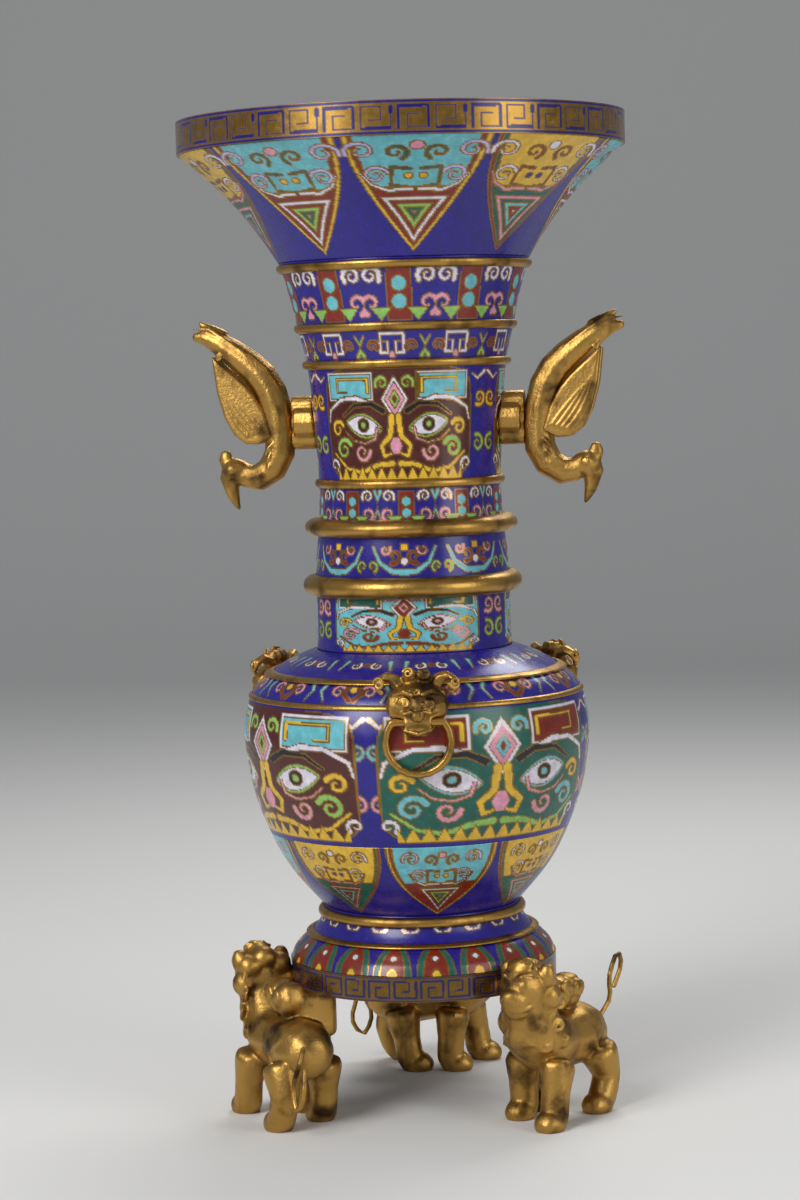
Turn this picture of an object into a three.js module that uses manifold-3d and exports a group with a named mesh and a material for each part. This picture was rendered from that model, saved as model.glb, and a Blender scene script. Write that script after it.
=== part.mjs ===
// Enamelled bronze vase on three walking lions, with two phoenix handles and three mask rings.
// Millimetres, +Z up. The origin lies on the vase's axis, on the ground under the lions' paws.
// Azimuth 0 is the front (-Y); it grows towards +X.
import * as THREE from 'three';
import { mergeVertices } from 'three/addons/utils/BufferGeometryUtils.js';
import Module from 'manifold-3d';

const wasm = await Module();
wasm.setup();

// General sizes
const SIDES = 32;
const GAP = 0.3;
const WALL = 4;

// Heights of the joints between the cast sections
const RIM_TOP = 800;
const RIM_BOTTOM = 774;
const MOUTH_BOTTOM = 686;
const NECK_BOTTOM = 375;
const BELLY_BOTTOM = 166;
const FOOT_BOTTOM = 123;
const GROUND_CLEARANCE = 103;

// Radii of the sections
const RIM_RADIUS = 180;
const MOUTH_TOP_RADIUS = 178;
const MOUTH_BOTTOM_RADIUS = 101;
const NECK_BOTTOM_RADIUS = 79;
const BELLY_RADIUS = 140.2;
const BELLY_BOTTOM_RADIUS = 79.6;
const FOOT_RADIUS = 108;
const FRET_BAND_RADIUS = 108.5;

// Gilt bands and collars: height of the middle, height, how far they stand out
const BAND_HEIGHT = 7;
const BAND_PROUD = 2.2;
const NECK_BANDS = { band_1: 681, band_2: 633, band_3: 604, band_4: 509 };
const COLLARS = { collar_upper: [474, 14.5, 10], collar_lower: [427, 17, 10] };
const SHOULDER_LINES = { shoulder_line_1: 357, shoulder_line_2: 339 };
const LINE_HEIGHT = 4;
const LINE_PROUD = 1.4;
const FOOT_BANDS = { foot_ring_top: [161, 8, 2.5], foot_line_mid: [144, 3.5, 1.5] };

// Handles
const HANDLE_AZIMUTHS = { right: 80, left: -100 };
const BOSS_HEIGHT = 558;
const BOSS_RADIUS = 21;
const BOSS_OUTER_END = 95;
const STUD_RADIUS = 5;
const NUT_RADIUS = 10;
const NUT_THICKNESS = 6;

// Masks and their rings
const MASK_AZIMUTHS = { front: 0, right: 120, left: -120 };
const MASK_STUD_HEIGHT = 348;
const MASK_STUD_RADIUS = 3;
const MASK_NUT_RADIUS = 5.5;
const RING_RADIUS = 25.4;
const RING_STOCK = 6.5;
const HINGE_HEIGHT = 328.6;
const HINGE_HALF_LENGTH = 20.4;
const RING_REACH = BELLY_RADIUS + 0.5 + RING_STOCK / 2;
const BORE_CLEARANCE = 0.35;

// Lions
const LION_CENTRE = 124;
const LION_AZIMUTHS = { right: 54.4, left: -65.6, back: 174.4 };
const TAIL_WIRE = 4.4;

const gilt = { color: 0xb8893a, roughness: 0.35, metalness: 1 };
const enamel = { color: 0x24149a, roughness: 0.25, metalness: 0 };
const darkBronze = { color: 0x4a3820, roughness: 0.55, metalness: 1 };

const vase = new THREE.Group();

function place(name, geometry, finish, parent = vase) {
  const mesh = new THREE.Mesh(geometry, new THREE.MeshStandardMaterial(finish));
  mesh.name = name;
  parent.add(mesh);
  return mesh;
}

// A closed geometry with shared corners and its faces pointing out
function welded(source) {
  const bare = source.clone();
  bare.deleteAttribute('normal');
  bare.deleteAttribute('uv');
  const geometry = mergeVertices(bare, 1e-4);
  const at = (i) => new THREE.Vector3().fromBufferAttribute(geometry.attributes.position, i);
  const index = geometry.index.array;
  let volume = 0;
  for (let i = 0; i < index.length; i += 3) {
    volume += at(index[i]).dot(at(index[i + 1]).cross(at(index[i + 2])));
  }
  if (volume < 0) geometry.setIndex(Array.from(index).reverse());
  return geometry;
}

function solid(source) {
  const geometry = welded(source);
  return new wasm.Manifold(new wasm.Mesh({
    numProp: 3,
    vertProperties: new Float32Array(geometry.attributes.position.array),
    triVerts: new Uint32Array(geometry.index.array),
  }));
}

function geometryOf(body) {
  const mesh = body.getMesh();
  const geometry = new THREE.BufferGeometry();
  geometry.setAttribute('position', new THREE.BufferAttribute(new Float32Array(mesh.vertProperties), 3));
  geometry.setIndex(new THREE.BufferAttribute(new Uint32Array(mesh.triVerts), 1));
  return geometry;
}

const joined = (pieces) => pieces.reduce((whole, piece) => whole.add(piece));

// A ring turned about the Z axis from a closed outline of [radius, height] corners
function turned(outline, sides = SIDES) {
  const points = outline.map(([radius, height]) => new THREE.Vector2(radius, height));
  points.push(points[0].clone());
  return welded(new THREE.LatheGeometry(points, sides).rotateX(Math.PI / 2));
}

// A smooth outline through a few stations
function smooth(stations, count) {
  const curve = new THREE.SplineCurve(stations.map(([r, z]) => new THREE.Vector2(r, z)));
  return curve.getPoints(count).map((p) => [p.x, p.y]);
}

// The outline moved square to itself; the two ends stay at their own heights
function moved(outline, distance) {
  return outline.map(([r, z], i) => {
    const before = outline[Math.max(i - 1, 0)];
    const after = outline[Math.min(i + 1, outline.length - 1)];
    const run = [after[0] - before[0], after[1] - before[1]];
    const length = Math.hypot(run[0], run[1]);
    if (i === 0 || i === outline.length - 1) return [r + distance * length / Math.abs(run[1]), z];
    return [r - distance * run[1] / length, z + distance * run[0] / length];
  });
}

function shell(outline) {
  return turned([...outline, ...moved(outline, -WALL).reverse()]);
}

function radiusAt(outline, height) {
  const i = outline.findIndex(([, z], k) => k > 0 && z <= height);
  const [r0, z0] = outline[i - 1];
  const [r1, z1] = outline[i];
  return r0 + (r1 - r0) * (z0 - height) / (z0 - z1);
}

// A band with a bevelled face that closes round the outline with a small gap
function bandOn(outline, middle, height, proud) {
  const top = middle + height / 2;
  const bottom = middle - height / 2;
  const seat = (z) => Math.max(radiusAt(outline, top), radiusAt(outline, z), radiusAt(outline, bottom)) + GAP;
  const face = seat(middle) + proud;
  return turned([
    [radiusAt(outline, top) + GAP, top], [face, top - height / 4], [face, bottom + height / 4],
    [radiusAt(outline, bottom) + GAP, bottom],
  ]);
}

const mouthLine = smooth([
  [MOUTH_TOP_RADIUS, RIM_BOTTOM], [162, 759.7], [141.4, 740.2], [124.4, 720.6], [110.4, 701],
  [MOUTH_BOTTOM_RADIUS, MOUTH_BOTTOM],
], 5);
const neckLine = smooth([
  [MOUTH_BOTTOM_RADIUS, MOUTH_BOTTOM], [92.5, 658], [87, 633], [80.5, 604], [76.5, 560], [73.6, 509],
  [75, 474], [77.5, 450], [78.5, 420], [NECK_BOTTOM_RADIUS, NECK_BOTTOM],
], 8);
const bellyLine = smooth([
  [NECK_BOTTOM_RADIUS + 2, NECK_BOTTOM], [103, 366], [122, 354], [132.5, 342], [138.5, 325],
  [BELLY_RADIUS, 303], [134.5, 263], [120.8, 224.6], [104.6, 195.5], [BELLY_BOTTOM_RADIUS, BELLY_BOTTOM],
], 9);
const footLine = smooth([
  [BELLY_BOTTOM_RADIUS, BELLY_BOTTOM], [81.5, 157], [87.5, 147], [98, 138], [104.5, 131],
  [FOOT_RADIUS, FOOT_BOTTOM],
], 4);

// Vase body
const rimWall = 7;
place('rim_band', turned([
  [RIM_RADIUS, RIM_BOTTOM], [RIM_RADIUS, RIM_TOP], [RIM_RADIUS - rimWall, RIM_TOP],
  [RIM_RADIUS - rimWall, RIM_BOTTOM],
]), gilt);
place('mouth', shell(mouthLine), enamel);
const bandWall = 5;
place('foot', shell(footLine), enamel);
place('foot_fret_band', turned([
  [FRET_BAND_RADIUS, FOOT_BOTTOM], [FRET_BAND_RADIUS, GROUND_CLEARANCE],
  [FRET_BAND_RADIUS - bandWall, GROUND_CLEARANCE], [FRET_BAND_RADIUS - bandWall, FOOT_BOTTOM],
]), gilt);
const discRadius = FRET_BAND_RADIUS - bandWall - 2 * GAP;
const discThickness = 3;
const disc = new THREE.CylinderGeometry(discRadius, discRadius, discThickness, SIDES);
disc.rotateX(Math.PI / 2).translate(0, 0, GROUND_CLEARANCE + discThickness / 2);
place('base_disc', welded(disc), darkBronze);

for (const [name, middle] of Object.entries(NECK_BANDS)) {
  place(name, bandOn(neckLine, middle, BAND_HEIGHT, BAND_PROUD), gilt);
}
for (const [name, [middle, height, proud]] of Object.entries(COLLARS)) {
  place(name, bandOn(neckLine, middle, height, proud), gilt);
}
for (const [name, middle] of Object.entries(SHOULDER_LINES)) {
  place(name, bandOn(bellyLine, middle, LINE_HEIGHT, LINE_PROUD), gilt);
}
for (const [name, [middle, height, proud]] of Object.entries(FOOT_BANDS)) {
  place(name, bandOn(footLine, middle, height, proud), gilt);
}

// Full solids of the neck and belly, a little larger, that seats are cut with
const facetSpread = 1 / Math.cos(Math.PI / SIDES);
function filled(outline) {
  const skin = moved(outline, GAP).map(([r, z]) => [r * facetSpread, z]);
  return solid(new THREE.LatheGeometry([[0, skin[0][1]], ...skin, [0, skin.at(-1)[1]]]
    .map(([r, z]) => new THREE.Vector2(r, z)), SIDES).rotateX(Math.PI / 2));
}
const neckSeat = filled(neckLine);
const bellySeat = Object.values(SHOULDER_LINES).reduce((seat, middle) => {
  const reach = (radiusAt(bellyLine, middle - LINE_HEIGHT / 2) + LINE_PROUD + 2 * GAP) * facetSpread;
  const belt = new THREE.CylinderGeometry(reach, reach, LINE_HEIGHT + 2 * GAP, SIDES);
  return seat.add(solid(belt.rotateX(Math.PI / 2).translate(0, 0, middle)));
}, filled(bellyLine));

// Round forms for the castings
function ball(x, y, z, rx, ry = rx, rz = rx, sides = 6, rows = 3) {
  return solid(new THREE.SphereGeometry(1, sides, rows).scale(rx, ry, rz).translate(x, y, z));
}

// A round bar that follows a smooth path through [x, y, z, radius] stations
function bar(stations, steps, sides = 8) {
  const path = new THREE.CatmullRomCurve3(stations.map(([x, y, z]) => new THREE.Vector3(x, y, z)));
  const frames = path.computeFrenetFrames(steps);
  const geometry = new THREE.CylinderGeometry(1, 1, 1, sides, steps);
  const place = geometry.attributes.position;
  for (let i = 0; i < place.count; i += 1) {
    const step = Math.round((0.5 - place.getY(i)) * steps);
    const share = (step / steps) * (stations.length - 1);
    const low = Math.min(Math.floor(share), stations.length - 2);
    const radius = THREE.MathUtils.lerp(stations[low][3], stations[low + 1][3], share - low);
    const point = path.getPoint(step / steps)
      .addScaledVector(frames.normals[step], radius * place.getX(i))
      .addScaledVector(frames.binormals[step], radius * place.getZ(i));
    place.setXYZ(i, point.x, point.y, point.z);
  }
  return solid(geometry);
}

// A cylinder along local X between two distances
function crosswise(radius, from, to, y, z, sides = 10) {
  const geometry = new THREE.CylinderGeometry(radius, radius, to - from, sides).rotateZ(Math.PI / 2);
  return solid(geometry.translate((from + to) / 2, y, z));
}

function box(x0, x1, y0, y1, z0, z1) {
  const geometry = new THREE.BoxGeometry(x1 - x0, y1 - y0, z1 - z0);
  return solid(geometry.translate((x0 + x1) / 2, (y0 + y1) / 2, (z0 + z1) / 2));
}

// Local X points outwards from the vase
function outwardGroup(azimuth) {
  const group = new THREE.Group();
  group.rotation.z = THREE.MathUtils.degToRad(azimuth - 90);
  vase.add(group);
  return group;
}
const inVase = (body, azimuth) => body.rotate([0, 0, azimuth - 90]);

// Phoenix handle: local X outwards, Y round the vase
const neckAtBoss = radiusAt(neckLine, BOSS_HEIGHT);
const nutSeat = neckAtBoss - WALL - 4;
function bossBody() {
  const rolls = [0, 1, 2].map((i) => {
    const height = BOSS_HEIGHT + (i - 1) * 13;
    return crosswise(8.5, neckAtBoss - 6, BOSS_OUTER_END, 0, height, 10);
  });
  const stud = crosswise(STUD_RADIUS, nutSeat - NUT_THICKNESS, neckAtBoss + 10, 0, BOSS_HEIGHT);
  const lens = crosswise(15, neckAtBoss - 6, BOSS_OUTER_END - 3, 0, BOSS_HEIGHT, 12);
  return joined([...rolls, lens]).subtract(neckSeat).add(stud);
}
const boss = bossBody();
const bossClear = crosswise(BOSS_RADIUS + 2, 60, BOSS_OUTER_END + GAP, 0, BOSS_HEIGHT, 20);
const birdStations = [[176, 0, 630, 2.5], [165, 0, 629, 6], [154, 0, 624, 9], [141, 0, 614, 11],
  [128, 0, 604, 12], [117, 0, 592, 12.5], [110, 0, 575, 12.5], [107, 0, 555, 12], [106, 0, 538, 12],
  [112, 0, 523, 11.5], [124, 0, 514, 10.5], [138, 0, 516, 9]];
const bird = joined([
  bar(birdStations, 12, 8),
  ball(144, 0, 519, 12, 10, 11, 8, 5),
  bar([[149, 0, 512, 7], [147, 0, 500, 4.5], [142, 0, 488, 1]], 4, 6),
  ball(146, 7, 521, 5, 5, 5), ball(146, -7, 521, 5, 5, 5),
  ball(152, 0, 529, 6, 4, 9), ball(152, 0, 514, 6, 4, 6),
  bar([[150, 0, 629, 5], [162, 0, 636, 3.5], [171, 0, 641, 1.5]], 3, 6),
]).subtract(bossClear);
const birdClear = bar(birdStations.map(([x, y, z, r]) => [x, y, z, r + GAP]), 12, 8);
const wingSide = 5;
const wingThickness = 5;
function wing(side) {
  const leaf = new THREE.Shape();
  leaf.moveTo(112, 548);
  leaf.bezierCurveTo(134, 532, 152, 548, 158, 612);
  leaf.bezierCurveTo(146, 596, 122, 590, 112, 548);
  const blade = new THREE.ExtrudeGeometry(leaf, {
    depth: wingThickness, bevelThickness: 1, bevelSize: 1, bevelSegments: 1, curveSegments: 6,
  });
  blade.rotateX(Math.PI / 2).translate(0, side > 0 ? wingSide + 1 + wingThickness : -wingSide - 1, 0);
  return solid(blade).subtract(birdClear);
}
const nut = crosswise(NUT_RADIUS, nutSeat - NUT_THICKNESS + 1, nutSeat, 0, BOSS_HEIGHT, 6)
  .subtract(crosswise(STUD_RADIUS + GAP, nutSeat - NUT_THICKNESS - 5, nutSeat + 5, 0, BOSS_HEIGHT));

let neck = solid(shell(neckLine));
for (const [side, azimuth] of Object.entries(HANDLE_AZIMUTHS)) {
  const hole = crosswise(STUD_RADIUS + GAP, neckAtBoss - 12, neckAtBoss + 12, 0, BOSS_HEIGHT);
  neck = neck.subtract(inVase(hole, azimuth));
  const group = outwardGroup(azimuth);
  place(`phoenix_${side}`, geometryOf(bird), gilt, group);
  place(`wing_front_${side}`, geometryOf(wing(-1)), gilt, group);
  place(`wing_back_${side}`, geometryOf(wing(1)), gilt, group);
  place(`handle_boss_${side}`, geometryOf(boss), gilt, group);
  place(`handle_nut_${side}`, geometryOf(nut), darkBronze, group);
}
place('neck', geometryOf(neck), enamel);

// Mask with its ring: local X outwards, Y round the vase
const mouthHalf = HINGE_HALF_LENGTH - 2;
function maskBody() {
  const horns = [-1, 1].map((side) => bar([[131, side * 9, 350, 6], [130, side * 20, 363, 5.5],
    [133, side * 28, 362, 4.5], [137, side * 30, 354, 3.5], [138, side * 26, 350, 2]], 5, 5));
  const eyes = [-1, 1].map((side) => ball(147, side * 9.5, 343.5, 4.6));
  const brows = [-1, 1].map((side) => ball(144, side * 9, 351, 4, 7, 3));
  const curls = [-1, 1].map((k) => ball(133, 5 * k, 363, 7));
  const face = [ball(136, 0, 341, 15, 25, 19, 8, 6), ball(136, 0, 332, 14, 20, 12), ball(140, 0, 324, 9, 14, 9),
    ball(150, 0, 334, 5, 6, 5), ball(147, 0, 341, 5, 4, 8), ball(142, 0, 352, 5, 5, 5),
    ball(146, 0, 322, 4, 11, 3)];
  const sweep = [-1, 1].map((side) => box(RING_REACH - 4.5, RING_REACH + 60,
    side > 0 ? mouthHalf : -60, side > 0 ? 60 : -mouthHalf, 250, HINGE_HEIGHT + 4.5));
  const bore = solid(new THREE.CylinderGeometry(RING_STOCK / 2 + BORE_CLEARANCE,
    RING_STOCK / 2 + BORE_CLEARANCE, 80, 16).translate(RING_REACH, 0, HINGE_HEIGHT));
  const cheek = ball(RING_REACH, 0, HINGE_HEIGHT, 6.5, mouthHalf, 6.5);
  const head = joined([...face, cheek, ...horns, ...eyes, ...brows, ...curls]).subtract(bellySeat);
  return joined([head, maskStud]).subtract(joined([...sweep, bore]));
}
const bellyAtMask = radiusAt(bellyLine, MASK_STUD_HEIGHT);
const maskNutSeat = bellyAtMask - WALL - 11;
const maskStud = crosswise(MASK_STUD_RADIUS, maskNutSeat - NUT_THICKNESS, bellyAtMask + 4, 0, MASK_STUD_HEIGHT);
const mask = maskBody();
const maskNut = crosswise(MASK_NUT_RADIUS, maskNutSeat - NUT_THICKNESS + 1, maskNutSeat, 0, MASK_STUD_HEIGHT, 6)
  .subtract(crosswise(MASK_STUD_RADIUS + GAP, maskNutSeat - NUT_THICKNESS - 5, maskNutSeat + 5, 0,
    MASK_STUD_HEIGHT));
const ringDrop = Math.sqrt(RING_RADIUS ** 2 - HINGE_HALF_LENGTH ** 2);
const ringCentre = HINGE_HEIGHT - ringDrop;
const ringStart = Math.asin(ringDrop / RING_RADIUS);
const RING_STEPS = 14;
const ringStations = [];
for (let i = 0; i <= RING_STEPS; i += 1) {
  const angle = ringStart - (Math.PI + 2 * ringStart) * (i / RING_STEPS);
  ringStations.push([RING_REACH, RING_RADIUS * Math.cos(angle), ringCentre + RING_RADIUS * Math.sin(angle),
    RING_STOCK / 2]);
}
const pinLength = 2 * HINGE_HALF_LENGTH + 2;
const pin = new THREE.CylinderGeometry(RING_STOCK / 2, RING_STOCK / 2, pinLength, 8);
const ring = bar(ringStations, RING_STEPS, 6).add(solid(pin.translate(RING_REACH, 0, HINGE_HEIGHT)));

let belly = solid(shell(bellyLine));
for (const [side, azimuth] of Object.entries(MASK_AZIMUTHS)) {
  const hole = crosswise(MASK_STUD_RADIUS + GAP, bellyAtMask - 20, bellyAtMask + 12, 0, MASK_STUD_HEIGHT);
  belly = belly.subtract(inVase(hole, azimuth));
  const group = outwardGroup(azimuth);
  place(`mask_${side}`, geometryOf(mask), gilt, group);
  place(`ring_${side}`, geometryOf(ring), gilt, group);
  place(`mask_nut_${side}`, geometryOf(maskNut), darkBronze, group);
}
place('belly', geometryOf(belly), enamel);

// Lion: local X is the way it walks, Y points away from the vase's axis
function lionTorso(grow) {
  const trunk = bar([[-58, 0, 62, 10 + grow], [-48, 0, 62, 20 + grow], [-30, 0, 62, 24 + grow],
    [-6, 0, 63, 21 + grow], [18, 0, 66, 25 + grow], [34, 1, 84, 20 + grow], [44, 3, 110, 16 + grow]], 8, 8);
  const face = [ball(45, 4, 113, 18 + grow, 17 + grow, 18 + grow, 8, 6), ball(60, 4, 106, 9, 11, 8),
    ball(67, 4, 109, 4, 6, 4), ball(57, 4, 97, 9, 9, 5), ball(47, 4, 129, 9, 7, 7)];
  for (const side of [-1, 1]) {
    face.push(ball(58, 4 + side * 8.5, 117, 4, 4, 4), ball(40, 4 + side * 18, 124, 5, 5, 9));
  }
  const mane = [];
  for (let k = -2; k <= 2; k += 1) {
    const angle = k * 0.85;
    mane.push(ball(35, 3 + 17 * Math.sin(angle), 108 + 17 * Math.cos(angle), 10 + grow, 9, 9));
  }
  for (const side of [-1, 1]) mane.push(ball(40, side * 12, 84, 12 + grow, 9, 10));
  mane.push(ball(46, 0, 76, 10 + grow, 9, 12), ball(36, 3, 104, 12, 17, 16));
  return joined([trunk, ...face, ...mane]);
}
const seatRadius = (FRET_BAND_RADIUS + GAP) * facetSpread;
const footSeat = solid(new THREE.CylinderGeometry(seatRadius, seatRadius, 60, SIDES)
  .rotateX(Math.PI / 2).translate(0, -LION_CENTRE, GROUND_CLEARANCE - GAP + 30));
const torso = lionTorso(0).subtract(footSeat);
const torsoClear = lionTorso(GAP);
const underGround = box(-90, 90, -60, 60, -30, 0);
const LEGS = {
  fore_outer: [[24, 19, 50, 13], [30, 21, 28, 9], [33, 21, 8, 9]],
  fore_inner: [[14, -19, 50, 13], [12, -21, 28, 9], [11, -21, 8, 9]],
  hind_outer: [[-36, 19, 50, 14], [-46, 21, 28, 9], [-37, 21, 8, 9]],
  hind_inner: [[-30, -19, 50, 14], [-26, -21, 28, 9], [-23, -21, 8, 9]],
};
const SADDLE_TOP = GROUND_CLEARANCE - GAP;
const seatBlock = box(-26, 12, -32, -2, 70, SADDLE_TOP);
const seatLip = joined([-18, -2].map((x) => ball(x, 2, 100, 12, 12, 14)));
const saddle = joined([seatBlock, seatLip]).subtract(torsoClear).subtract(footSeat);
const TAILS = {
  low: [[-57, 8, 70], [-66, 16, 58], [-60, 19, 40], [-68, 20, 22], [-77, 18, 34], [-72, 14, 56]],
  high: [[-57, 8, 70], [-68, 12, 84], [-62, 16, 104], [-72, 18, 122], [-82, 15, 110], [-74, 12, 92]],
};
function tail(points) {
  const path = new THREE.CatmullRomCurve3(points.map((p) => new THREE.Vector3(...p)));
  const section = new THREE.Shape().absarc(0, 0, TAIL_WIRE / 2, 0, 2 * Math.PI);
  return solid(new THREE.ExtrudeGeometry(section, { steps: 12, extrudePath: path, curveSegments: 3 }));
}
for (const [side, azimuth] of Object.entries(LION_AZIMUTHS)) {
  const group = new THREE.Group();
  const angle = THREE.MathUtils.degToRad(azimuth);
  group.position.set(LION_CENTRE * Math.sin(angle), -LION_CENTRE * Math.cos(angle), 0);
  group.rotation.z = angle + Math.PI;
  vase.add(group);
  place(`lion_${side}`, geometryOf(torso), gilt, group);
  for (const [leg, stations] of Object.entries(LEGS)) {
    const [pawX, pawY] = stations.at(-1);
    const paw = ball(pawX + 6, pawY, 5, 14, 11, 9);
    const limb = bar(stations, 4, 8).add(paw).subtract(torsoClear).subtract(underGround);
    place(`lion_${side}_${leg}_leg`, geometryOf(limb), gilt, group);
  }
  place(`lion_${side}_saddle`, geometryOf(saddle), gilt, group);
  const route = side === 'right' ? TAILS.high : TAILS.low;
  place(`lion_${side}_tail`, geometryOf(tail(route).subtract(torsoClear)), gilt, group);
}

export default vase;
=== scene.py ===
# %% [markdown]
# An enamelled bronze vase on three walking lions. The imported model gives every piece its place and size;
# this script gives the pieces their real surfaces: enamel fired in metal cells, gilt mouldings and cast
# animals. Lengths are written in millimetres and become metres when a mesh is made.

# %% Load the model
import math
import bpy
import numpy as np
from mathutils import Matrix, Vector


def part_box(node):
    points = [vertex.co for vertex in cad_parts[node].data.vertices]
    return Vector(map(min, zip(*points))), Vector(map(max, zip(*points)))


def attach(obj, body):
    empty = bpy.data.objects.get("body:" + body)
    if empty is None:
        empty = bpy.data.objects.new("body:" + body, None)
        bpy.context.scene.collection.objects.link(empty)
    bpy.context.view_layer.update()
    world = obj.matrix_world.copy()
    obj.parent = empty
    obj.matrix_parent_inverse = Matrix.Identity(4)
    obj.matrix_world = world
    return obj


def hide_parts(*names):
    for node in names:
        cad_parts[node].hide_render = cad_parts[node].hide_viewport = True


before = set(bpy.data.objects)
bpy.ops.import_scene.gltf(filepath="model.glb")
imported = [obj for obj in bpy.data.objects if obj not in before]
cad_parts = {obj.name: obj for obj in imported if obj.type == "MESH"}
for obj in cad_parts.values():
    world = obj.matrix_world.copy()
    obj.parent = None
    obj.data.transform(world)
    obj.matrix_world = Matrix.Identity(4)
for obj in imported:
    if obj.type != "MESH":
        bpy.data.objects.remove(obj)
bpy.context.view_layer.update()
MM = 0.001
print("nodes:", len(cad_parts))

# %% [markdown]
# Colours are written as the eye names them, in sRGB hex, and Blender wants linear light. One function
# turns them. The enamels are the coloured glasses of the trade: lapis, turquoise, oxblood and so on.

# %% Colours
def linear(hex_colour):
    """Each channel c of the hex colour becomes ((c + 0.055) / 1.055) to the power 2.4, or c / 12.92."""
    c = np.array([int(hex_colour[i:i + 2], 16) for i in (1, 3, 5)]) / 255.0
    return np.where(c <= 0.04045, c / 12.92, ((c + 0.055) / 1.055) ** 2.4)


def rgba(hex_colour):
    """The linear colour with a fourth channel of 1, as a colour socket wants it."""
    return (*linear(hex_colour), 1.0)


ENAMEL = {
    "lapis": "#1E147E", "turquoise": "#66B4BE", "green": "#12584A", "leaf": "#86B85A",
    "oxblood": "#7A2213", "yellow": "#D9AE2F", "white": "#D6D0DC", "pink": "#D58FA6",
    "lilac": "#B9AEE0", "black": "#14121C", "brown": "#4A1A16", "gilt": "#C79A48",
}
INK = {name: linear(value) for name, value in ENAMEL.items()}
print("enamels:", len(INK))

# %% [markdown]
# A material is a small net of nodes. One function adds a node: its settings are plain names, and each of
# its sockets gets either a link or a value. A pattern's scale is the number of its cells in a metre.

# %% Node helper
def add(tree, kind, sockets=None, **settings):
    """One node of the kind; a socket whose value is another node's socket is linked to it."""
    node = tree.nodes.new(kind)
    for key, value in settings.items():
        setattr(node, key, value)
    for key, value in (sockets or {}).items():
        if isinstance(value, bpy.types.NodeSocket):
            tree.links.new(value, node.inputs[key])
        else:
            node.inputs[key].default_value = value
    return node


def new_material(name):
    """An empty material and its node tree."""
    material = bpy.data.materials.new(name)
    material.use_nodes = True
    material.node_tree.nodes.clear()
    return material, material.node_tree


print("helpers:", add.__name__, new_material.__name__)

# %% [markdown]
# Fire gilding over cast bronze is a warm yellow metal with small casting pits, brightest on the high places.
# The hollows are painted dark brown: painted shade, together with tarnish. Pointiness tells high places
# from hollows, and a noise breaks the tarnish into stains about 22 mm wide. The pits are drawn about
# 2 mm apart, coarser than real, so that they show.

# %% Metal finishes
STAINS_PER_METRE, PITS_PER_METRE = 45.0, 480.0
COLOUR_A, COLOUR_B, COLOUR_OUT = 6, 7, 2
HOLLOW_SPAN = 0.07


def metal(name, bright, shade_and_tarnish, rough, pit_depth, high_place=0.5):
    """Bright times how high the place is times the stain noise: painted shade in the hollows and
    tarnish in the stains; roughness falls as the noise grows.
    """
    material, tree = new_material(name)
    where = add(tree, "ShaderNodeTexCoord").outputs["Object"]
    stain = add(tree, "ShaderNodeTexNoise",
                {"Vector": where, "Scale": STAINS_PER_METRE, "Detail": 5.0}).outputs["Fac"]
    pits = add(tree, "ShaderNodeTexNoise",
               {"Vector": where, "Scale": PITS_PER_METRE, "Detail": 3.0}).outputs["Fac"]
    height = add(tree, "ShaderNodeNewGeometry").outputs["Pointiness"]
    # Painted shade: low pointiness, in the hollows, turns the colour towards the dark brown.
    painted_hollow_shade = add(tree, "ShaderNodeMapRange",
               {"Value": height, "From Min": high_place - HOLLOW_SPAN, "From Max": high_place})
    clean = add(tree, "ShaderNodeMapRange", {"Value": stain, "From Min": 0.3, "From Max": 0.5})
    both = add(tree, "ShaderNodeMath", {0: painted_hollow_shade.outputs["Result"], 1: clean.outputs["Result"]},
               operation="MULTIPLY")
    tint = add(tree, "ShaderNodeMix",
               {"Factor": both.outputs[0], COLOUR_A: rgba(shade_and_tarnish), COLOUR_B: rgba(bright)}, data_type="RGBA")
    gloss = add(tree, "ShaderNodeMapRange", {"Value": stain, "From Min": 0.2, "From Max": 0.8,
                                             "To Min": rough + 0.14, "To Max": rough - 0.08})
    bump = add(tree, "ShaderNodeBump", {"Height": pits, "Strength": 0.5, "Distance": pit_depth * MM})
    skin = add(tree, "ShaderNodeBsdfPrincipled", {
        "Base Color": tint.outputs[COLOUR_OUT], "Roughness": gloss.outputs["Result"],
        "Normal": bump.outputs["Normal"], "Metallic": 1.0})
    add(tree, "ShaderNodeOutputMaterial", {"Surface": skin.outputs["BSDF"]})
    return material


# The second colour of each finish is painted shade in its hollows and tarnish in its stains.
fire_gilt_casting = metal("fire_gilt_casting", "#B8904C", "#4C3822", 0.40, 0.7, 0.495)
fire_gilt_band = metal("fire_gilt_band", "#B48C47", "#6E5128", 0.33, 0.4, 0.48)
raw_bronze = metal("raw_bronze", "#5A4630", "#2E2318", 0.55, 0.8)
print("metals:", [finish.name for finish in (fire_gilt_casting, fire_gilt_band, raw_bronze)])

# %% [markdown]
# Enamel is glass ground flat with its metal cell walls. Its colours come with each piece as an
# attribute, and the attribute's alpha says where a cell wall shows. Glass has an index near 1.5 and a
# soft polish. Clouds of about 8 mm in the colour and pinholes about 3 mm apart, coarser than real, show
# the repeated firing.

# %% Enamel finish
CLOUDS_PER_METRE, PINHOLES_PER_METRE = 130.0, 330.0
PINHOLE_DEPTH = 0.3
GLASS_INDEX = 1.52


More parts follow.
